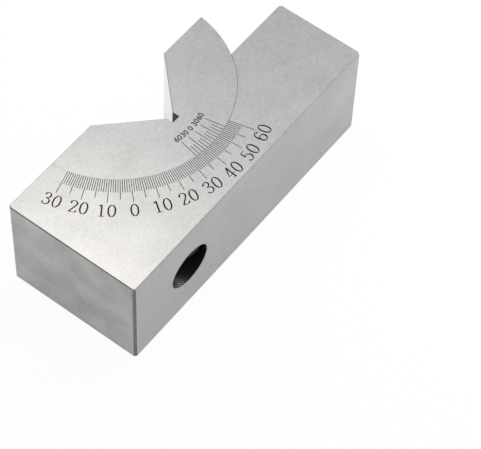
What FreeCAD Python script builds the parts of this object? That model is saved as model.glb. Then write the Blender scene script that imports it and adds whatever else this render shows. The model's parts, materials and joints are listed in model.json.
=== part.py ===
"""Adjustable-angle V block, 75 x 32 x 25 mm, for setting work at an angle on a machine table.

A hardened and ground block carries a round segment with a 90 degree V. The segment turns in a round seat
whose centre line runs through the thickness, and a vernier on it reads a scale engraved on the block.
A socket head cap screw enters the base face at a slant, points at the seat's centre and pulls a T-nut,
which slides in a T-slot round the segment, so that the segment is clamped down into its seat.

Frame: the block lies on its back face. X runs along the block, Y from the base face to the V's open side,
and Z from the back face to the graduated face. The origin is the middle of the back face.
All lengths are millimetres and all angles are degrees.
"""

import FreeCAD, Part
import math
import os

# Base block
LENGTH = 75.0
HEIGHT = 32.0            # base face to the top of the high end
THICKNESS = 25.0         # back face to graduated face
LEDGE_HEIGHT = 21.0      # base face to the low ledge on the right
SEAT_RADIUS = 24.5
SEAT_FLOOR = 10.0        # base face to the lowest line of the round seat
CORNER_CHAMFER = 0.5     # the four long corners of the block
EDGE_BREAK = 0.2         # straight edges of the front and back faces

# V segment
SEGMENT_CLEARANCE = 0.03  # radial, between the segment and its seat
V_WIDTH = 23.8            # V's opening at the top of the segment
V_ANGLE = 90.0
RELIEF_WIDTH = 2.0        # groove at the bottom of the V
RELIEF_DEPTH = 0.8        # below the line where the flanks would meet

# T-slot round the segment, on the middle of its thickness
LIP = 3.0                 # metal between the round side and the wide part of the slot
SLOT_NECK = 7.0
SLOT_HEAD = 12.0
SLOT_HEAD_DEPTH = 3.8

# Clamp nut
NUT_SIDE_CLEARANCE = 0.1  # each side, in the neck and in the head of the slot
NUT_SHOULDER_GAP = 0.05   # between the nut's shoulders and the slot's lips
NUT_FLANGE = 2.95         # radial thickness under the lips
NUT_BOSS = 2.0            # radial height in the neck
NUT_LENGTH = 11.0         # round the slot, at the flange

# Clamp screw, M5 socket head cap screw
SCREW_DIAMETER = 5.0
SCREW_TIP_CHAMFER = 0.5
THREAD_CLEARANCE = 0.05   # radial, stands for the thread's flank play
HEAD_DIAMETER = 8.5
HEAD_HEIGHT = 5.0
HEAD_CHAMFER = 0.4
SOCKET_FLATS = 4.0
SOCKET_DEPTH = 2.5

# Screw hole in the block
CLAMP_WEB_THICKNESS = 6.0  # seat to the floor of the counterbore, along the screw
HOLE_CLEARANCE = 0.25     # radial, round the screw's shank
COUNTERBORE_CLEARANCE = 0.55  # radial, round the screw's head

# Engraved scale and vernier
SCALE_LOW = -30
SCALE_HIGH = 60
REST_READING = 45         # the vernier's zero stands here with the V upright
LINE_WIDTH = 0.14
LINE_DEPTH = 0.08
DEGREE_LINE = 3.1
FIVE_LINE = 4.8
TEN_LINE = 5.6
VERNIER_DIVISIONS = 6     # each side of zero
VERNIER_PITCH = 11.0 / 6  # 11 degrees in 6 divisions reads 10 minutes
VERNIER_LINE = 2.6
VERNIER_LONG_LINE = 4.5
VERNIER_LONG_EVERY = 3

# Worked out from the sizes above
BASE_Y = -HEIGHT / 2
TOP_Y = HEIGHT / 2
LEDGE_Y = BASE_Y + LEDGE_HEIGHT
CENTRE = FreeCAD.Vector(0, BASE_Y + SEAT_FLOOR + SEAT_RADIUS, 0)
MID_Z = THICKNESS / 2
SEGMENT_RADIUS = SEAT_RADIUS - SEGMENT_CLEARANCE
SLOT_SHOULDER_RADIUS = SEGMENT_RADIUS - LIP
SLOT_FLOOR_RADIUS = SLOT_SHOULDER_RADIUS - SLOT_HEAD_DEPTH
NUT_SHOULDER_RADIUS = SLOT_SHOULDER_RADIUS - NUT_SHOULDER_GAP
NUT_BACK_RADIUS = NUT_SHOULDER_RADIUS - NUT_FLANGE
CLAMP_READING = (SCALE_LOW + SCALE_HIGH) / 2
HEAD_SEAT_RADIUS = SEAT_RADIUS + CLAMP_WEB_THICKNESS
SCREW_LENGTH = HEAD_SEAT_RADIUS - NUT_BACK_RADIUS

Z_AXIS = FreeCAD.Vector(0, 0, 1)
CUT_OVERRUN = 5.0         # how far cutting tools run past what they cut
TOUCHING = 1e-6           # nearer than this counts as the same point


def radial(reading):
    """Unit vector from the seat's centre towards a reading of the scale."""
    angle = math.radians(reading - REST_READING)
    return FreeCAD.Vector(math.sin(angle), -math.cos(angle), 0)


def prism(edges, height=THICKNESS):
    """Solid standing on the back face's plane, from the closed outline of its edges."""
    return Part.Face(Part.Wire(edges)).extrude(FreeCAD.Vector(0, 0, height))


def lines(points):
    """Straight edges from each point to the next."""
    return [Part.LineSegment(a, b).toShape() for a, b in zip(points, points[1:])]


def at(x, y):
    """Point of an outline on the back face's plane."""
    return FreeCAD.Vector(x, y, 0)


def half_chord(y, radius):
    """Half the width, at height y, of a circle about the seat's centre."""
    return math.sqrt(radius ** 2 - (y - CENTRE.y) ** 2)


def long_edges_at(solid, points):
    """Edges along Z that stand on the given points of the back face."""
    found = []
    for edge in solid.Edges:
        first, last = edge.firstVertex().Point, edge.lastVertex().Point
        foot = at(first.x, first.y)
        upright = (first - last).cross(Z_AXIS).Length < TOUCHING
        if upright and any((foot - point).Length < TOUCHING for point in points):
            found.append(edge)
    return found


def straight_face_edges(solid, lowest_y):
    """Straight edges of the front and back faces that lie above a height."""
    found = []
    for edge in solid.Edges:
        heights = {round(v.Point.z, 6) for v in edge.Vertexes}
        on_a_face = heights in ({0.0}, {round(THICKNESS, 6)})
        high_enough = min(v.Point.y for v in edge.Vertexes) > lowest_y - TOUCHING
        if on_a_face and high_enough and isinstance(edge.Curve, Part.Line):
            found.append(edge)
    return found


def clamp_placement(distance):
    """Placement on the screw's axis at a distance from the seat's centre, with local Z pointing outwards."""
    outwards = radial(CLAMP_READING)
    turn = FreeCAD.Rotation(Z_AXIS, outwards)
    point = CENTRE + outwards * distance + FreeCAD.Vector(0, 0, MID_Z)
    return FreeCAD.Placement(point, turn)


def clamp_cylinder(radius, start, end):
    """Cylinder on the screw's axis between two distances from the seat's centre."""
    solid = Part.makeCylinder(radius, end - start)
    solid.Placement = clamp_placement(start)
    return solid


def engraved_line(reading, inner, outer):
    """Cutter for one radial line of the front face, at a reading of the scale."""
    cutter = Part.makeBox(outer - inner, LINE_WIDTH, LINE_DEPTH + CUT_OVERRUN)
    cutter.translate(FreeCAD.Vector(inner, -LINE_WIDTH / 2, THICKNESS - LINE_DEPTH))
    cutter.rotate(FreeCAD.Vector(), Z_AXIS, reading - REST_READING - 90)
    cutter.translate(CENTRE)
    return cutter


def scale_cutters():
    """Degree, five degree and ten degree lines, from the seat outwards."""
    cutters = []
    for reading in range(SCALE_LOW, SCALE_HIGH + 1):
        length = TEN_LINE if reading % 10 == 0 else FIVE_LINE if reading % 5 == 0 else DEGREE_LINE
        cutters.append(engraved_line(reading, SEAT_RADIUS - LINE_WIDTH, SEAT_RADIUS + length))
    return cutters


def vernier_cutters():
    """Ten minute lines on the segment, from its round side inwards, the same on both sides of zero."""
    cutters = []
    for step in range(-VERNIER_DIVISIONS, VERNIER_DIVISIONS + 1):
        length = VERNIER_LONG_LINE if step % VERNIER_LONG_EVERY == 0 else VERNIER_LINE
        reading = REST_READING + step * VERNIER_PITCH
        cutters.append(engraved_line(reading, SEGMENT_RADIUS - length, SEGMENT_RADIUS + LINE_WIDTH))
    return cutters


def base_block():
    """Block with its high end, low ledge, round seat, slanted screw hole and engraved scale."""
    left, right = -LENGTH / 2, LENGTH / 2
    seat_right = at(CENTRE.x + half_chord(LEDGE_Y, SEAT_RADIUS), LEDGE_Y)
    seat_left = at(CENTRE.x - half_chord(TOP_Y, SEAT_RADIUS), TOP_Y)
    seat_bottom = at(CENTRE.x, CENTRE.y - SEAT_RADIUS)
    corners = [at(left, TOP_Y), at(left, BASE_Y), at(right, BASE_Y), at(right, LEDGE_Y)]
    seat = Part.Arc(seat_right, seat_bottom, seat_left).toShape()
    block = prism(lines([seat_left, *corners, seat_right]) + [seat])
    block = block.makeChamfer(CORNER_CHAMFER, long_edges_at(block, corners))
    block = block.makeChamfer(EDGE_BREAK, straight_face_edges(block, BASE_Y))
    mouth = (CENTRE.y - BASE_Y) / abs(radial(CLAMP_READING).y)
    shank_hole = clamp_cylinder(
        SCREW_DIAMETER / 2 + HOLE_CLEARANCE, SEAT_RADIUS - CUT_OVERRUN, HEAD_SEAT_RADIUS + CUT_OVERRUN)
    counterbore = clamp_cylinder(
        HEAD_DIAMETER / 2 + COUNTERBORE_CLEARANCE, HEAD_SEAT_RADIUS, mouth + HEAD_DIAMETER)
    return block.cut(Part.makeCompound([shank_hole, counterbore])).cut(Part.makeCompound(scale_cutters()))


def t_section(shoulder, back, outer, neck, head):
    """T-shaped face in the plane through the seat's centre line, narrow part outwards."""
    corners = [
        (back, -head / 2), (shoulder, -head / 2), (shoulder, -neck / 2), (outer, -neck / 2),
        (outer, neck / 2), (shoulder, neck / 2), (shoulder, head / 2), (back, head / 2),
    ]
    points = [CENTRE + FreeCAD.Vector(r, 0, MID_Z + z) for r, z in corners]
    return Part.Face(Part.Wire(lines(points + points[:1])))


def v_segment():
    """Round segment with the V, its relief groove, the T-slot round its side and the vernier."""
    radius = SEGMENT_RADIUS
    reach = half_chord(TOP_Y, radius)
    slope = math.tan(math.radians(V_ANGLE / 2))
    v_bottom = TOP_Y - V_WIDTH / 2 / slope
    relief_top = v_bottom + RELIEF_WIDTH / 2 / slope
    relief_bottom = v_bottom - RELIEF_DEPTH
    right = [
        (RELIEF_WIDTH / 2, relief_bottom), (RELIEF_WIDTH / 2, relief_top),
        (V_WIDTH / 2, TOP_Y), (reach, TOP_Y),
    ]
    left = [(-x, y) for x, y in reversed(right)]
    outline = [at(CENTRE.x + x, y) for x, y in left + right]
    side = Part.Arc(outline[-1], at(CENTRE.x, CENTRE.y - radius), outline[0]).toShape()
    segment = prism(lines(outline) + [side])
    segment = segment.makeChamfer(EDGE_BREAK, straight_face_edges(segment, relief_top))
    slot = t_section(
        SLOT_SHOULDER_RADIUS, SLOT_FLOOR_RADIUS, radius + CUT_OVERRUN, SLOT_NECK, SLOT_HEAD,
    ).revolve(CENTRE, Z_AXIS, 360)
    return segment.cut(slot).cut(Part.makeCompound(vernier_cutters()))


def clamp_nut():
    """T-nut that follows the curve of the slot, with a hole for the screw."""
    half_angle = math.degrees(NUT_LENGTH / 2 / NUT_SHOULDER_RADIUS)
    section = t_section(
        NUT_SHOULDER_RADIUS, NUT_BACK_RADIUS, NUT_SHOULDER_RADIUS + NUT_BOSS,
        SLOT_NECK - 2 * NUT_SIDE_CLEARANCE, SLOT_HEAD - 2 * NUT_SIDE_CLEARANCE)
    section.rotate(CENTRE, Z_AXIS, CLAMP_READING - REST_READING - 90 - half_angle)
    nut = section.revolve(CENTRE, Z_AXIS, 2 * half_angle)
    hole = clamp_cylinder(
        SCREW_DIAMETER / 2 + THREAD_CLEARANCE, NUT_BACK_RADIUS - CUT_OVERRUN, SEAT_RADIUS + CUT_OVERRUN)
    return nut.cut(hole)


def clamp_screw():
    """Socket head cap screw with its head on the floor of the counterbore and its tip level with the nut."""
    shank_radius = SCREW_DIAMETER / 2
    head_radius = HEAD_DIAMETER / 2
    profile = [
        (0, -SCREW_LENGTH), (shank_radius - SCREW_TIP_CHAMFER, -SCREW_LENGTH),
        (shank_radius, -SCREW_LENGTH + SCREW_TIP_CHAMFER), (shank_radius, 0),
        (head_radius, 0), (head_radius, HEAD_HEIGHT - HEAD_CHAMFER),
        (head_radius - HEAD_CHAMFER, HEAD_HEIGHT), (0, HEAD_HEIGHT),
    ]
    points = [FreeCAD.Vector(x, 0, z) for x, z in profile]
    screw = Part.Face(Part.Wire(lines(points + points[:1]))).revolve(FreeCAD.Vector(), Z_AXIS, 360)
    socket_radius = SOCKET_FLATS / math.sqrt(3)
    hexagon = [
        FreeCAD.Vector(
            socket_radius * math.cos(math.radians(60 * k)), socket_radius * math.sin(math.radians(60 * k)),
            HEAD_HEIGHT - SOCKET_DEPTH)
        for k in range(7)
    ]
    socket = Part.Face(Part.Wire(lines(hexagon))).extrude(FreeCAD.Vector(0, 0, SOCKET_DEPTH + CUT_OVERRUN))
    drill_point = Part.makeCone(
        0, SOCKET_FLATS / 2, SOCKET_FLATS / 2 * math.tan(math.radians(30)),
        FreeCAD.Vector(0, 0, HEAD_HEIGHT - SOCKET_DEPTH - SOCKET_FLATS / 2 * math.tan(math.radians(30))))
    screw = screw.cut(socket).cut(drill_point)
    screw.Placement = clamp_placement(HEAD_SEAT_RADIUS)
    return screw


def main():
    os.makedirs("parts", exist_ok=True)
    nodes = {
        "base_block": base_block(),
        "v_segment": v_segment(),
        "clamp_nut": clamp_nut(),
        "clamp_screw": clamp_screw(),
    }
    for name, shape in nodes.items():
        shape.exportStep(os.path.join("parts", name + ".step"))
        print(f"{name}: {len(shape.Solids)} solid, {shape.Volume:.1f} mm3, valid {shape.isValid()}")


main()
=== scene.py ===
"""Adjustable-angle V block: ground steel, engraved scales filled dark, and a black clamp screw in its hole.

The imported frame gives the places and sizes, in metres. The block and its round segment are carried over with
their numbers engraved in them, and the clamp's screw and nut are finished as they stand.
"""

import json
import math

import bpy
from bpy.props import FloatProperty, FloatVectorProperty, IntProperty, PointerProperty
from mathutils import Matrix, Vector


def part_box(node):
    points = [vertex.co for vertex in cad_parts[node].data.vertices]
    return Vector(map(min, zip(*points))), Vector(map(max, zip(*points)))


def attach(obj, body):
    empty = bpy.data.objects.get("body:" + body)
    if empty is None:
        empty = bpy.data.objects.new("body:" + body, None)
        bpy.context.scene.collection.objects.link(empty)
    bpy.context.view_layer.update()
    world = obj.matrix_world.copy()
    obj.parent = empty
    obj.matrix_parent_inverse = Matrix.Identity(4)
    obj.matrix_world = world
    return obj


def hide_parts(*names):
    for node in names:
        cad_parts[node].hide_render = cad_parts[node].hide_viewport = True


bl_info = {
    "name": "Adjustable V block",
    "version": (1, 0, 0),
    "blender": (4, 5, 0),
    "location": "3D View > Sidebar > V Block",
    "description": "Engraves and finishes an adjustable-angle V block, and sets its stage",
    "category": "Object",
}

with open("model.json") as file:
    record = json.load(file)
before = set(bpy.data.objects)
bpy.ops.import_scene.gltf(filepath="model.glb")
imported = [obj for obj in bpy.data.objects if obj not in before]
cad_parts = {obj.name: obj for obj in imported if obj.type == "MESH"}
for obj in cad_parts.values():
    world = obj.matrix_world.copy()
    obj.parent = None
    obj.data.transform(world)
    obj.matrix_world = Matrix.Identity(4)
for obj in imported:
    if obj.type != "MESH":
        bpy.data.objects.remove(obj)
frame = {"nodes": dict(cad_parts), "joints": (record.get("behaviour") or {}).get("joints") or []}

MM = 0.001
JOINTS = {joint["name"]: joint for joint in frame["joints"]}
BLOCK_LOW, BLOCK_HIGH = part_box("base_block")
SEGMENT_LOW, SEGMENT_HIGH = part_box("v_segment")
SEAT_CENTRE = Vector(JOINTS["segment_tilt"]["pos_m"])
SEAT_RADIUS = SEAT_CENTRE.y - SEGMENT_LOW.y
SCREW_SEAT = Vector(JOINTS["screw_turn"]["pos_m"])
SCREW_AXIS = Vector(JOINTS["screw_turn"]["axis"]).normalized()
FACE_Z = BLOCK_HIGH.z
MIDDLE_Z = (BLOCK_LOW.z + BLOCK_HIGH.z) / 2
LOWEST_READING = -30
HIGHEST_READING = 60
REST_READING = 45
WELD = 0.001 * MM
"""Vertices nearer than this are one vertex of the carried-over meshes."""


# ---------------------------------------------------------------- sizes and colours

class ScaleNumbers(bpy.types.PropertyGroup):
    """Numbers engraved on the block, beside the degree scale."""

    height: FloatProperty(
        name="Height", description="Height of a number", default=2.95 * MM, unit="LENGTH")
    pitch: FloatProperty(
        name="Pitch", description="From one digit of a number to the next", default=2.1 * MM, unit="LENGTH")
    radius: FloatProperty(
        name="Radius", description="From the seat's centre to the middle of the numbers",
        default=SEAT_RADIUS + 7.55 * MM, unit="LENGTH")
    thin_stroke: FloatProperty(
        name="Thin stroke", description="Width of a level stroke", default=0.17 * MM, unit="LENGTH")
    contrast: FloatProperty(
        name="Contrast", description="Upright strokes over level ones, in width", default=2.0)
    depth: FloatProperty(
        name="Depth", description="Depth of the engraving", default=0.08 * MM, unit="LENGTH")
    step: IntProperty(name="Step", description="Degrees from one number to the next", default=10)


class VernierNumbers(bpy.types.PropertyGroup):
    """Minute numbers engraved on the segment, above the vernier."""

    height: FloatProperty(
        name="Height", description="Height of a number", default=1.25 * MM, unit="LENGTH")
    radius: FloatProperty(
        name="Radius", description="From the seat's centre to the middle of the numbers",
        default=SEAT_RADIUS - 5.6 * MM, unit="LENGTH")
    depth: FloatProperty(
        name="Depth", description="Depth of the engraving", default=0.06 * MM, unit="LENGTH")
    weight: FloatProperty(
        name="Weight", description="Thickening of each stroke", default=0.025 * MM, unit="LENGTH")
    minutes_per_degree: FloatProperty(
        name="Minutes per degree", description="Vernier minutes in a degree round the arc", default=60 / 11)


class Finishes(bpy.types.PropertyGroup):
    """Colours of the steels and of the filling of the marks."""

    ground: FloatVectorProperty(
        name="Ground steel", description="Colour of the ground faces", default=(0.425, 0.423, 0.418),
        size=3, subtype="COLOR")
    # Painted reflection: the V's flanks are coloured far lighter than the ground faces to stand for the bright floor
    # they reflect.
    lapped: FloatVectorProperty(
        name="Lapped steel, painted reflection", description="Colour of the flanks of the V", default=(0.78, 0.775, 0.745),
        size=3, subtype="COLOR")
    # Painted reflection: the end chamfers are coloured far darker than the ground faces to stand for the dark
    # reflection they show on the camera's side; they are also left milled, not ground.
    milled: FloatVectorProperty(
        name="Milled steel and painted dark reflection", description="Colour of the milled chamfers, darkened as a painted reflection", default=(0.17, 0.17, 0.168),
        size=3, subtype="COLOR")
    grain_spacing: FloatProperty(
        name="Grain spacing", description="From one grinding line to the next", default=0.24 * MM,
        unit="LENGTH")
    # This black is also painted shade: it colours the seat's broken front edge as the shadow in the joint between
    # block and segment.
    scale_black: FloatVectorProperty(
        name="Hardening scale and painted shade", description="Colour of the unground recesses and of the painted shade in the seat's joint", default=(0.009, 0.008, 0.0075),
        size=3, subtype="COLOR")
    oxide_black: FloatVectorProperty(
        name="Black oxide", description="Colour of the screw", default=(0.075, 0.075, 0.078),
        size=3, subtype="COLOR")
    machined: FloatVectorProperty(
        name="Machined steel", description="Colour of the nut", default=(0.34, 0.335, 0.32),
        size=3, subtype="COLOR")
    filling: FloatVectorProperty(
        name="Filling", description="Colour of the filling in the marks", default=(0.014, 0.009, 0.007),
        size=3, subtype="COLOR")


class Studio(bpy.types.PropertyGroup):
    """Floor, light and camera."""

    floor_size: FloatProperty(
        name="Floor", description="Length and width of the floor", default=6.0, unit="LENGTH")
    floor_colour: FloatVectorProperty(
        name="Floor colour", description="Colour of the floor", default=(0.82, 0.82, 0.81),
        size=3, subtype="COLOR")
    surround: FloatProperty(
        name="Surround", description="Brightness of the light from all round", default=0.7)
    azimuth: FloatProperty(
        name="Azimuth", description="Turn of the camera round the block", default=math.radians(-55.0),
        subtype="ANGLE", unit="ROTATION")
    elevation: FloatProperty(
        name="Elevation", description="Rise of the camera", default=math.radians(55.8),
        subtype="ANGLE", unit="ROTATION")
    roll: FloatProperty(
        name="Roll", description="Turn of the camera about its own axis", default=math.radians(2.85),
        subtype="ANGLE", unit="ROTATION")
    distance: FloatProperty(
        name="Distance", description="From the camera to what it looks at", default=0.4504, unit="LENGTH")
    lens: FloatProperty(name="Lens", description="Focal length in millimetres", default=165.6)


# ---------------------------------------------------------------- modelling by hand

def select_only(obj):
    """Leaves one object selected and active, in object mode."""
    if bpy.context.mode != "OBJECT":
        bpy.ops.object.mode_set(mode="OBJECT")
    bpy.ops.object.select_all(action="DESELECT")
    obj.select_set(True)
    bpy.context.view_layer.objects.active = obj


def carried_over(node, name):
    """Copy of a node's mesh, its triangles joined into one closed skin."""
    piece = bpy.data.objects.new(name, frame["nodes"][node].data.copy())
    bpy.context.scene.collection.objects.link(piece)
    piece.data.materials.clear()
    select_only(piece)
    bpy.ops.mesh.customdata_custom_splitnormals_clear()
    bpy.ops.object.mode_set(mode="EDIT")
    bpy.ops.mesh.select_all(action="SELECT")
    bpy.ops.mesh.remove_doubles(threshold=WELD)
    bpy.ops.object.mode_set(mode="OBJECT")
    return piece


def paint_faces(piece, material, test):
    """Gives a material to the faces whose middle and normal pass a test."""
    piece.data.materials.append(material)
    index = len(piece.data.materials) - 1
    for face in piece.data.polygons:
        if test(face.center, face.normal):
            face.material_index = index


def engrave(piece, cutter):
    """Cuts a cutter's shape into a piece, and leaves the cutter's material in the cut."""
    select_only(piece)
    cut = piece.modifiers.new("Engraving", "BOOLEAN")
    cut.operation = "DIFFERENCE"
    cut.solver = "EXACT"
    cut.use_self = True
    cut.material_mode = "TRANSFER"
    cut.object = cutter
    bpy.ops.object.modifier_apply(modifier=cut.name)
    bpy.data.objects.remove(cutter)


def bake_place(obj, matrix):
    """Moves an object's mesh by a matrix and leaves the object itself at the origin."""
    obj.matrix_world = matrix
    select_only(obj)
    bpy.ops.object.transform_apply(location=True, rotation=True, scale=True)


def joined(objects, name):
    """One object made of several."""
    select_only(objects[0])
    for obj in objects[1:]:
        obj.select_set(True)
    bpy.ops.object.join()
    objects[0].name = name
    return objects[0]


def soften_curves(piece, angle=math.radians(25)):
    """Smooth shading on round faces, with crisp edges between faces that meet at more than an angle."""
    select_only(piece)
    bpy.ops.object.shade_smooth_by_angle(angle=angle)


def mark_place(radius, reading, offset, height):
    """Place on the front face at a reading, offset along the arc, with tops towards the seat's centre."""
    turn = Matrix.Rotation(math.radians(reading - REST_READING), 4, "Z")
    middle = Vector((SEAT_CENTRE.x, SEAT_CENTRE.y, height))
    return Matrix.Translation(middle) @ turn @ Matrix.Translation(Vector((offset, -radius, 0)))


def round_the_seat(point):
    """Distance of a point from the seat's centre line, and its angle in degrees from straight down."""
    across, down = point.x - SEAT_CENTRE.x, SEAT_CENTRE.y - point.y
    return math.hypot(across, down), math.degrees(math.atan2(across, down))


def off_the_screw(point):
    """Distance of a point from the screw's centre line."""
    return (point - SCREW_SEAT).cross(SCREW_AXIS).length


# ---------------------------------------------------------------- digits

DIGITS = {
    "0": [("ring", (0.31, 0.5, 0.235, 0.47))],
    "1": [
        ("line", [(0.33, 0.97), (0.33, 0.03)]),
        ("line", [(0.33, 0.97), (0.15, 0.82)]),
        ("line", [(0.16, 0.03), (0.50, 0.03)]),
    ],
    "2": [
        ("curve", [(0.10, 0.76), (0.16, 0.92), (0.32, 0.975), (0.50, 0.86), (0.50, 0.66), (0.30, 0.36), (0.08, 0.04)]),
        ("line", [(0.08, 0.04), (0.50, 0.04), (0.56, 0.20)]),
        ("ball", (0.12, 0.75, 0.055)),
    ],
    "3": [
        ("curve", [(0.10, 0.80), (0.17, 0.93), (0.31, 0.975), (0.47, 0.86), (0.44, 0.64), (0.24, 0.53)]),
        ("curve", [(0.24, 0.53), (0.45, 0.47), (0.54, 0.27), (0.44, 0.08), (0.26, 0.025), (0.08, 0.14)]),
        ("ball", (0.12, 0.80, 0.05)),
        ("ball", (0.10, 0.16, 0.055)),
    ],
    "4": [
        ("line", [(0.42, 0.97), (0.42, 0.03)]),
        ("line", [(0.42, 0.97), (0.06, 0.29), (0.58, 0.29)]),
        ("line", [(0.29, 0.03), (0.55, 0.03)]),
    ],
    "5": [
        ("line", [(0.13, 0.53), (0.17, 0.955), (0.50, 0.955)]),
        ("curve", [(0.13, 0.53), (0.30, 0.61), (0.48, 0.51), (0.53, 0.32), (0.44, 0.10), (0.27, 0.025), (0.08, 0.14)]),
        ("ball", (0.10, 0.16, 0.055)),
    ],
    "6": [
        ("curve", [(0.49, 0.83), (0.44, 0.94), (0.33, 0.975), (0.16, 0.84), (0.08, 0.52), (0.09, 0.28)]),
        ("ring", (0.31, 0.30, 0.225, 0.275)),
        ("ball", (0.48, 0.83, 0.05)),
    ],
}
"""Pen strokes of each digit, from its lower left corner, in shares of its height.

A line and a curve give points, a ring its middle and half sizes, and a ball its middle and half width."""

DIGIT_WIDTH = 0.62


def smooth_run(spline, points, handle):
    """Fills a Bezier spline with points that share one kind of handle."""
    spline.bezier_points.add(len(points) - 1)
    for knot, (x, y) in zip(spline.bezier_points, points):
        knot.co = (x, y, 0)
        knot.handle_left_type = handle
        knot.handle_right_type = handle


def ring_points(x, y, half_width, half_height, count=8):
    """Points round an oval."""
    angles = [2 * math.pi * k / count for k in range(count)]
    return [(x + half_width * math.cos(a), y + half_height * math.sin(a)) for a in angles]


def digit_cutter(digit, numbers):
    """Cutter for one digit, drawn with an oval nib: upright strokes are wide and level ones thin."""
    nib = numbers.thin_stroke / 2 / numbers.height
    squeeze = 1 / numbers.contrast
    curve = bpy.data.curves.new("Stroke", "CURVE")
    curve.dimensions = "3D"
    curve.bevel_depth = nib
    curve.bevel_resolution = 2
    curve.resolution_u = 5
    curve.use_fill_caps = True
    balls = []
    for kind, data in DIGITS[digit]:
        if kind == "ball":
            balls.append(data)
            continue
        spline = curve.splines.new("BEZIER")
        points = ring_points(*data) if kind == "ring" else data
        spline.use_cyclic_u = kind == "ring"
        handle = "VECTOR" if kind == "line" else "AUTO"
        smooth_run(spline, [((x - DIGIT_WIDTH / 2) * squeeze, y - 0.5) for x, y in points], handle)
    strokes = bpy.data.objects.new("Strokes", curve)
    bpy.context.scene.collection.objects.link(strokes)
    select_only(strokes)
    bpy.ops.object.convert(target="MESH")
    parts = [bpy.context.object]
    for x, y, half_width in balls:
        bpy.ops.mesh.primitive_uv_sphere_add(
            segments=12, ring_count=6, radius=1,
            location=((x - DIGIT_WIDTH / 2) * squeeze, y - 0.5, 0),
            scale=(half_width * squeeze, half_width, nib))
        parts.append(bpy.context.object)
    cutter = joined(parts, "Digit")
    depth_scale = numbers.depth / numbers.height / nib
    sizes = Matrix.Diagonal((numbers.contrast, 1, depth_scale, 1))
    bake_place(cutter, Matrix.Scale(numbers.height, 4) @ sizes @ cutter.matrix_world)
    return cutter


def number_cutter(reading, numbers, filling):
    """Cutter for one number of the degree scale, on its place on the front face."""
    digits = str(abs(reading))
    parts = []
    for k, digit in enumerate(digits):
        part = digit_cutter(digit, numbers)
        offset = (k - (len(digits) - 1) / 2) * numbers.pitch
        bake_place(part, mark_place(numbers.radius, reading, offset, FACE_Z))
        parts.append(part)
    cutter = joined(parts, "Number")
    cutter.data.materials.clear()
    cutter.data.materials.append(filling)
    return cutter


def minute_cutter(minutes, numbers, filling):
    """Cutter for one plain number of the vernier, on its place on the segment."""
    bpy.ops.object.text_add()
    text = bpy.context.object
    text.data.body = str(abs(minutes))
    text.data.align_x = "CENTER"
    text.data.align_y = "CENTER"
    text.data.size = numbers.height / 0.7
    text.data.extrude = numbers.depth
    text.data.offset = numbers.weight
    text.data.resolution_u = 3
    select_only(text)
    bpy.ops.object.convert(target="MESH")
    cutter = bpy.context.object
    bpy.ops.object.mode_set(mode="EDIT")
    bpy.ops.mesh.select_all(action="SELECT")
    bpy.ops.mesh.remove_doubles(threshold=WELD / 10)
    bpy.ops.mesh.normals_make_consistent(inside=False)
    bpy.ops.object.mode_set(mode="OBJECT")
    reading = REST_READING + minutes / numbers.minutes_per_degree
    bake_place(cutter, mark_place(numbers.radius, reading, 0, FACE_Z))
    cutter.data.materials.clear()
    cutter.data.materials.append(filling)
    return cutter


def seat_edge_cutter(material):
    """Cutter that breaks the seat's sharp front edge, from the end of the scale up to the ledge; its black is painted
    shade in the joint.
    """
    first, last, steps = HIGHEST_READING - 2.5, 104.5, 48
    radii = (SEAT_RADIUS - 0.4 * MM, SEAT_RADIUS + 0.07 * MM)
    heights = (FACE_Z - 0.1 * MM, FACE_Z + 0.1 * MM)
    section = [(radii[0], heights[0]), (radii[1], heights[0]), (radii[1], heights[1]), (radii[0], heights[1])]
    corners = []
    for step in range(steps + 1):
        reading = first + (last - first) * step / steps
        corners += [mark_place(radius, reading, 0, height).translation for radius, height in section]
    faces = [(3, 2, 1, 0), tuple(4 * steps + k for k in range(4))]
    for step in range(steps):
        here, there = 4 * step, 4 * step + 4
        faces += [(here + k, here + (k + 1) % 4, there + (k + 1) % 4, there + k) for k in range(4)]
    mesh = bpy.data.meshes.new("Broken edge")
    mesh.from_pydata(corners, [], faces)
    cutter = bpy.data.objects.new("Broken edge", mesh)
    bpy.context.scene.collection.objects.link(cutter)
    select_only(cutter)
    bpy.ops.object.mode_set(mode="EDIT")
    bpy.ops.mesh.select_all(action="SELECT")
    bpy.ops.mesh.normals_make_consistent(inside=False)
    bpy.ops.object.mode_set(mode="OBJECT")
    mesh.materials.append(material)
    return cutter


def bevel_hole_mouth(block):
    """Takes the sharp edge off the mouth of the screw's counterbore."""
    select_only(block)
    bpy.ops.object.mode_set(mode="EDIT")
    bpy.ops.mesh.select_all(action="DESELECT")
    bpy.ops.mesh.select_mode(type="EDGE")
    bpy.ops.object.mode_set(mode="OBJECT")
    corners = block.data.vertices
    for edge in block.data.edges:
        ends = [corners[index].co for index in edge.vertices]
        on_base = all(abs(end.y - BLOCK_LOW.y) < 0.01 * MM for end in ends)
        edge.select = on_base and all(off_the_screw(end) < 4.85 * MM for end in ends)
    bpy.ops.object.mode_set(mode="EDIT")
    bpy.ops.mesh.bevel(offset=0.14 * MM, segments=1, material=0)
    bpy.ops.mesh.select_mode(type="VERT")
    bpy.ops.object.mode_set(mode="OBJECT")


# ---------------------------------------------------------------- shader maths

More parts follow.
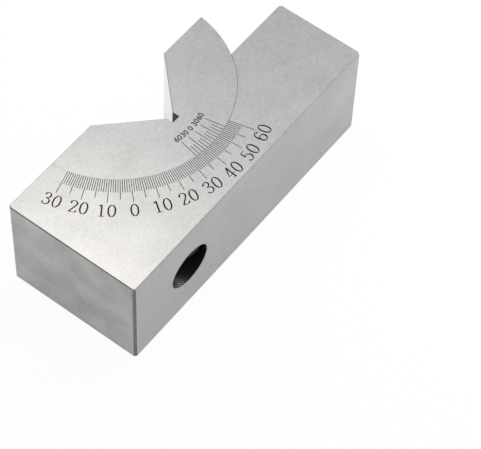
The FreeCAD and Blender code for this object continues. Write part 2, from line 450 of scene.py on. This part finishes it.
class Wire:
    """Output of a node that takes part in Python arithmetic, adding a Math node for each operation."""

    def __init__(self, shader, socket):
        self.shader = shader
        self.socket = socket

    def maths(self, operation, *values):
        return self.shader.node("ShaderNodeMath", {"operation": operation}, dict(enumerate(values)))

    def __add__(self, other):
        return self.maths("ADD", self, other)

    def __radd__(self, other):
        return self.maths("ADD", other, self)

    def __sub__(self, other):
        return self.maths("SUBTRACT", self, other)

    def __rsub__(self, other):
        return self.maths("SUBTRACT", other, self)

    def __mul__(self, other):
        return self.maths("MULTIPLY", self, other)

    def __rmul__(self, other):
        return self.maths("MULTIPLY", other, self)

    def above(self, limit):
        return self.maths("GREATER_THAN", self, limit)

    def size(self):
        return self.maths("ABSOLUTE", self)


class Shader:
    """Material whose nodes are added one call at a time."""

    def __init__(self, name):
        self.material = bpy.data.materials.new(name)
        self.material.use_nodes = True
        self.tree = self.material.node_tree
        self.tree.nodes.clear()

    def node(self, kind, settings=None, sockets=None, output=0):
        """Adds a node with its settings, fills or links its sockets, and gives one of its outputs."""
        node = self.tree.nodes.new(kind)
        for name, value in (settings or {}).items():
            if name == "stops":
                self.set_stops(node.color_ramp, value)
            else:
                setattr(node, name, value)
        for name, value in (sockets or {}).items():
            if isinstance(value, Wire):
                self.tree.links.new(value.socket, node.inputs[name])
            else:
                node.inputs[name].default_value = value
        return Wire(self, node.outputs[output]) if node.outputs else None

    @staticmethod
    def set_stops(ramp, stops):
        while len(ramp.elements) < len(stops):
            ramp.elements.new(1)
        for element, (place, grey) in zip(ramp.elements, stops):
            element.position = place
            element.color = (grey, grey, grey, 1)

    def place(self):
        """Position on the piece, in metres."""
        return self.node("ShaderNodeTexCoord", output="Object")

    def stretched(self, vector, sizes):
        """Pattern coordinates in which one unit is as long as the size given for each axis."""
        return self.node(
            "ShaderNodeMapping", {}, {"Vector": vector, "Scale": tuple(1 / size for size in sizes)})

    def noise(self, vector, detail=2.0, roughness=0.5):
        """Soft noise between 0 and 1."""
        return self.node(
            "ShaderNodeTexNoise", {}, {"Vector": vector, "Scale": 1.0, "Detail": detail, "Roughness": roughness})

    def ramp(self, value, stops):
        """Value bent by a curve of grey stops."""
        return self.node("ShaderNodeValToRGB", {"stops": stops}, {"Fac": value})

    def mix_vector(self, factor, first, second):
        """Blend of two vectors."""
        return self.node(
            "ShaderNodeMix", {"data_type": "VECTOR"}, {0: factor, 4: first, 5: second}, output=1)

    def tinted(self, factor, first, second):
        """Blend of two colours."""
        return self.node(
            "ShaderNodeMix", {"data_type": "RGBA"}, {0: factor, 6: (*first, 1), 7: (*second, 1)}, output=2)

    def bump(self, height, distance, strength=1.0):
        """Normal bent by a height between 0 and 1 that stands for a distance."""
        return self.node(
            "ShaderNodeBump", {}, {"Height": height, "Distance": distance, "Strength": strength})

    def surface(self, sockets):
        """Ends the material in one Principled surface."""
        shading = self.node("ShaderNodeBsdfPrincipled", {}, sockets)
        self.node("ShaderNodeOutputMaterial", {}, {"Surface": shading})
        return self.material


def shade(colour, amount):
    """Colour made darker or lighter by a share."""
    return tuple(min(1.0, part * amount) for part in colour)


def ground_steel(name, colour, roughness, finishes):
    """Hardened steel off the surface grinder: fine lines along the block, and across its ends."""
    shader = Shader(name)
    place = shader.place()
    normal = shader.node("ShaderNodeTexCoord", output="Normal")
    across = shader.node("ShaderNodeSeparateXYZ", {}, {"Vector": normal}).size().above(0.8)
    fine, long = finishes.grain_spacing, 6 * finishes.grain_spacing
    along_block = shader.stretched(place, (long, fine, fine))
    along_end = shader.stretched(place, (fine, long, fine))
    lines = shader.noise(shader.mix_vector(across, along_block, along_end), detail=4.0, roughness=0.65)
    clouds = shader.noise(shader.stretched(place, (9 * MM, 6 * MM, 6 * MM)), detail=3.0)
    specks = shader.noise(shader.stretched(place, (0.45 * MM,) * 3), detail=2.0)
    tone = lines * 0.45 + specks * 0.25 + 0.15 + (clouds - 0.5) * (0.2 + across * 0.5)
    colour = shader.tinted(
        shader.ramp(tone, [(0.32, 0.0), (0.68, 1.0)]), shade(colour, 0.82), shade(colour, 1.18))
    return shader.surface({
        "Base Color": colour,
        "Metallic": 1.0,
        "Roughness": roughness - 0.07 + lines * 0.14,
        "Normal": shader.bump(lines, 0.004 * MM, 0.6),
    })


def hardening_scale(name, finishes, along=None):
    """Black, unground skin left in holes and grooves by hardening, with a drill's rings along an axis; also the
    painted shade in the seat's joint.
    """
    shader = Shader(name)
    place = shader.place()
    specks = shader.noise(shader.stretched(place, (0.5 * MM,) * 3), detail=5.0, roughness=0.7)
    relief = specks
    if along:
        depth = shader.node("ShaderNodeVectorMath", {"operation": "DOT_PRODUCT"}, {0: place, 1: along}, output=1)
        turns = shader.node("ShaderNodeMath", {"operation": "SINE"}, {0: depth * (2 * math.pi / (0.55 * MM)) + specks * 4})
        relief = specks * 0.5 + turns * 0.25 + 0.25
    return shader.surface({
        "Base Color": shader.tinted(relief, shade(finishes.scale_black, 0.5), shade(finishes.scale_black, 2.0)),
        "Roughness": 0.3 + specks * 0.3,
        "Normal": shader.bump(relief, 0.05 * MM, 0.8),
    })


def black_oxide(finishes):
    """Thin black finish of a bought screw."""
    shader = Shader("Black oxide")
    haze = shader.noise(shader.stretched(shader.place(), (0.8 * MM,) * 3), detail=4.0)
    return shader.surface({
        "Base Color": shader.tinted(haze, shade(finishes.oxide_black, 0.7), shade(finishes.oxide_black, 1.4)),
        "Metallic": 0.3,
        "Roughness": 0.35 + haze * 0.2,
        "Normal": shader.bump(haze, 0.01 * MM, 0.4),
    })


def machined_steel(finishes):
    """Plain steel of the nut, with the tool's lines left on it."""
    shader = Shader("Machined steel")
    lines = shader.noise(shader.stretched(shader.place(), (3 * MM, 3 * MM, 0.12 * MM)), detail=3.0)
    return shader.surface({
        "Base Color": shader.tinted(lines, shade(finishes.machined, 0.8), shade(finishes.machined, 1.15)),
        "Metallic": 1.0,
        "Roughness": 0.35 + lines * 0.2,
        "Normal": shader.bump(lines, 0.006 * MM, 0.6),
    })


def mark_filling(finishes):
    """Dull dark filling of the engraved lines and numbers, thinner in places."""
    shader = Shader("Mark filling")
    wear = shader.noise(shader.stretched(shader.place(), (1.5 * MM,) * 3), detail=3.0)
    return shader.surface({
        "Base Color": shader.tinted(wear, shade(finishes.filling, 0.7), shade(finishes.filling, 2.0)),
        "Roughness": 0.7 + wear * 0.2,
        "Specular IOR Level": 0.2,
        "Normal": shader.bump(wear, 0.01 * MM, 0.3),
    })


# ---------------------------------------------------------------- operators

class VBLOCK_OT_engrave_block(bpy.types.Operator):
    """Carry the block over, number its degree scale and finish its faces, holes and marks"""

    bl_idname = "vblock.engrave_block"
    bl_label = "Engrave Block"

    def execute(self, context):
        numbers = context.scene.vblock_numbers
        finishes = context.scene.vblock_finishes
        filling = mark_filling(finishes)
        block = carried_over("base_block", "engraved_block")
        block.data.materials.append(ground_steel("Ground steel", finishes.ground, 0.35, finishes))
        counterbore = 4.85 * MM
        drilled = hardening_scale("Drilled scale", finishes, along=SCREW_AXIS)
        paint_faces(block, drilled, lambda middle, _: off_the_screw(middle) < counterbore)
        # Painted reflection: the end chamfers' dark colour stands for the dark reflection on the camera's side, on top
        # of their milled finish.
        paint_faces(block, ground_steel("Milled chamfer, painted dark reflection", finishes.milled, 0.45, finishes), self.on_a_corner)
        paint_faces(block, filling, self.in_a_line)
        # Painted shade: the seat's broken front edge is coloured black to stand for the shadow in the joint between
        # block and segment.
        engrave(block, seat_edge_cutter(hardening_scale("Broken edge painted shade", finishes)))
        bevel_hole_mouth(block)
        readings = range(LOWEST_READING, HIGHEST_READING + 1, numbers.step)
        engrave(block, joined([number_cutter(reading, numbers, filling) for reading in readings], "Numbers"))
        soften_curves(block)
        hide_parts("base_block")
        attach(block, "base")
        return {"FINISHED"}

    @staticmethod
    def on_a_corner(middle, normal):
        """Whether a face is the chamfer of a long corner or of an edge of the block's two ends."""
        slanted = max(abs(part) for part in normal) < 0.9 and abs(normal.x) > 0.5
        return slanted and abs(middle.x) > BLOCK_HIGH.x - 0.6 * MM

    @staticmethod
    def in_a_line(middle, _normal):
        """Whether a face is the floor or a wall of one of the scale's lines."""
        radius, angle = round_the_seat(middle)
        reading = angle + REST_READING
        on_scale = LOWEST_READING - 1 < reading < HIGHEST_READING + 1
        sunk = FACE_Z - 0.15 * MM < middle.z < FACE_Z - 0.01 * MM
        return on_scale and sunk and SEAT_RADIUS - 0.1 * MM < radius < SEAT_RADIUS + 5.6 * MM


class VBLOCK_OT_engrave_segment(bpy.types.Operator):
    """Carry the segment over, number its vernier and finish its faces, grooves and marks"""

    bl_idname = "vblock.engrave_segment"
    bl_label = "Engrave Segment"

    def execute(self, context):
        numbers = context.scene.vblock_vernier
        finishes = context.scene.vblock_finishes
        filling = mark_filling(finishes)
        segment = carried_over("v_segment", "engraved_segment")
        segment.data.materials.append(ground_steel("Segment steel", finishes.ground, 0.35, finishes))
        # Painted reflection: the flanks' light colour stands for the bright floor they reflect; their lower roughness
        # is the lapped finish.
        paint_faces(segment, ground_steel("Lapped steel, painted reflection", finishes.lapped, 0.22, finishes), self.in_the_vee)
        paint_faces(segment, hardening_scale("Groove scale", finishes), self.in_a_groove)
        paint_faces(segment, filling, self.in_a_line)
        minutes = (-60, -30, 0, 30, 60)
        engrave(segment, joined([minute_cutter(value, numbers, filling) for value in minutes], "Minutes"))
        soften_curves(segment)
        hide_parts("v_segment")
        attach(segment, "segment")
        return {"FINISHED"}

    @staticmethod
    def in_the_vee(middle, normal):
        """Whether a face is a flank of the V."""
        radius, _ = round_the_seat(middle)
        between_faces = abs(middle.z - MIDDLE_Z) < FACE_Z - MIDDLE_Z - 0.3 * MM
        slanted = abs(abs(normal.x) - abs(normal.y)) < 0.02 and abs(normal.z) < 0.1
        return between_faces and slanted and normal.y > 0 and radius < SEAT_RADIUS - 1.0 * MM

    @staticmethod
    def in_a_groove(middle, normal):
        """Whether a face belongs to the relief groove of the V or to the T-slot."""
        radius, _ = round_the_seat(middle)
        in_relief = abs(middle.x - SEAT_CENTRE.x) < 1.005 * MM and middle.y < 5.12 * MM and radius < 17 * MM
        in_slot = (
            17.5 * MM < radius < SEAT_RADIUS - 0.05 * MM
            and abs(middle.z - MIDDLE_Z) < 6.01 * MM
            and normal.y < 0.99)
        inside_faces = abs(middle.z - MIDDLE_Z) < FACE_Z - MIDDLE_Z - 0.01 * MM
        return inside_faces and (in_relief or in_slot)

    @staticmethod
    def in_a_line(middle, _normal):
        """Whether a face is the floor or a wall of one of the vernier's lines."""
        radius, angle = round_the_seat(middle)
        sunk = FACE_Z - 0.15 * MM < middle.z < FACE_Z - 0.01 * MM
        return abs(angle) < 13 and sunk and radius > SEAT_RADIUS - 5.2 * MM


class VBLOCK_OT_finish_clamp(bpy.types.Operator):
    """Finish the clamp's screw and nut"""

    bl_idname = "vblock.finish_clamp"
    bl_label = "Finish Clamp"

    def execute(self, context):
        finishes = context.scene.vblock_finishes
        for node, material in (("clamp_screw", black_oxide(finishes)), ("clamp_nut", machined_steel(finishes))):
            mesh = frame["nodes"][node].data
            mesh.materials.clear()
            mesh.materials.append(material)
        return {"FINISHED"}


def floor_material(studio):
    """Pale floor that keeps the block's shadow and fades to white where it is seen."""
    shader = Shader("Floor")
    pale = shader.node("ShaderNodeBsdfDiffuse", {}, {"Color": (*studio.floor_colour, 1)})
    white = shader.node("ShaderNodeEmission", {}, {"Color": (1, 1, 1, 1), "Strength": 1.0})
    seen = shader.node("ShaderNodeLightPath", output="Is Camera Ray")
    mirrored = shader.node("ShaderNodeLightPath", output="Is Glossy Ray")
    mixed = shader.node("ShaderNodeMixShader", {}, {0: seen * 0.94 + mirrored * 0.5, 1: pale, 2: white})
    shader.node("ShaderNodeOutputMaterial", {}, {"Surface": mixed})
    return shader.material


def world_background(studio):
    """Even soft light from all round, seen as white."""
    world = bpy.data.worlds.new("Studio")
    world.use_nodes = True
    shader = Shader.__new__(Shader)
    shader.tree = world.node_tree
    shader.tree.nodes.clear()
    seen = shader.node("ShaderNodeLightPath", output="Is Camera Ray")
    mirrored = shader.node("ShaderNodeLightPath", output="Is Glossy Ray")
    through = shader.node("ShaderNodeLightPath", output="Is Transmission Ray")
    soft = shader.node("ShaderNodeBackground", {}, {"Color": (0.96, 0.98, 1, 1), "Strength": studio.surround})
    pale = shader.node("ShaderNodeBackground", {}, {"Color": (0.94, 0.965, 1, 1), "Strength": 0.84})
    white = shader.node("ShaderNodeBackground", {}, {"Color": (1, 1, 1, 1), "Strength": 1.0})
    around = shader.node("ShaderNodeMixShader", {}, {0: mirrored, 1: soft, 2: pale})
    mixed = shader.node("ShaderNodeMixShader", {}, {0: seen + through, 1: around, 2: white})
    shader.node("ShaderNodeOutputWorld", {}, {"Surface": mixed})
    return world


def view_axes(azimuth, elevation):
    """Right, up and backward directions of a level camera that looks at the block from an angle."""
    back = Vector((
        math.sin(azimuth) * math.cos(elevation), -math.cos(azimuth) * math.cos(elevation), math.sin(elevation)))
    right = Vector((math.cos(azimuth), math.sin(azimuth), 0))
    return right, back.cross(right), back


def soft_box(name, target, azimuth, elevation, distance, size, power, colour):
    """Square lamp that faces a target from an angle."""
    right, up, back = view_axes(math.radians(azimuth), math.radians(elevation))
    bpy.ops.object.light_add(type="AREA")
    lamp = bpy.context.object
    lamp.name = name
    lamp.data.shape = "SQUARE"
    lamp.data.size = size
    lamp.data.energy = power
    lamp.data.color = colour
    lamp.visible_camera = False
    turn = Matrix((right, up, back)).transposed().to_4x4()
    lamp.matrix_world = Matrix.Translation(target + back * distance) @ turn


class VBLOCK_OT_set_stage(bpy.types.Operator):
    """Add the floor, the soft light and the camera"""

    bl_idname = "vblock.set_stage"
    bl_label = "Set Stage"

    def execute(self, context):
        studio = context.scene.vblock_studio
        middle = (BLOCK_LOW + BLOCK_HIGH) / 2
        bpy.ops.mesh.primitive_plane_add(size=studio.floor_size, location=(middle.x, middle.y, BLOCK_LOW.z))
        floor = context.object
        floor.name = "floor"
        floor.data.materials.append(floor_material(studio))
        context.scene.world = world_background(studio)
        soft_box("Key", middle, 165, 73, 0.28, 0.14, 0.20, (1.0, 0.95, 0.885))
        soft_box("Fill", middle, 80, 24, 0.45, 0.22, 1.9, (1.0, 1.0, 1.0))
        self.add_camera(context.scene, studio)
        context.scene.view_settings.view_transform = "Standard"
        return {"FINISHED"}

    @staticmethod
    def add_camera(scene, studio):
        target = Vector((-5.45 * MM, -17.7 * MM, MIDDLE_Z))
        right, up, back = view_axes(studio.azimuth, studio.elevation)
        turn = Matrix((right, up, back)).transposed().to_4x4() @ Matrix.Rotation(studio.roll, 4, "Z")
        bpy.ops.object.camera_add()
        camera = bpy.context.object
        camera.data.sensor_width = 36.0
        camera.data.lens = studio.lens
        camera.data.clip_start = 0.01
        camera.matrix_world = Matrix.Translation(target + back * studio.distance) @ turn
        scene.camera = camera


class VBLOCK_PT_panel(bpy.types.Panel):
    """Steps and sizes of the V block"""

    bl_label = "V Block"
    bl_idname = "VBLOCK_PT_panel"
    bl_space_type = "VIEW_3D"
    bl_region_type = "UI"
    bl_category = "V Block"

    def draw(self, context):
        for group in GROUPS:
            box = self.layout.box()
            box.label(text=group)
            settings = getattr(context.scene, group)
            for name in settings.__annotations__:
                box.prop(settings, name)
        for operator in STEPS:
            self.layout.operator(operator.bl_idname)


GROUPS = {
    "vblock_numbers": ScaleNumbers,
    "vblock_vernier": VernierNumbers,
    "vblock_finishes": Finishes,
    "vblock_studio": Studio,
}
STEPS = (
    VBLOCK_OT_engrave_block,
    VBLOCK_OT_engrave_segment,
    VBLOCK_OT_finish_clamp,
    VBLOCK_OT_set_stage,
)


def register():
    """Adds the settings, the operators and the panel to Blender."""
    for cls in (*GROUPS.values(), *STEPS, VBLOCK_PT_panel):
        bpy.utils.register_class(cls)
    for name, cls in GROUPS.items():
        setattr(bpy.types.Scene, name, PointerProperty(type=cls))


def unregister():
    """Takes them out again."""
    for name in GROUPS:
        delattr(bpy.types.Scene, name)
    for cls in reversed((*GROUPS.values(), *STEPS, VBLOCK_PT_panel)):
        bpy.utils.unregister_class(cls)


def main():
    """Runs every step."""
    register()
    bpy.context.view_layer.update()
    bpy.ops.vblock.engrave_block()
    bpy.ops.vblock.engrave_segment()
    bpy.ops.vblock.finish_clamp()
    bpy.ops.vblock.set_stage()


if __name__ == "__main__":
    main()
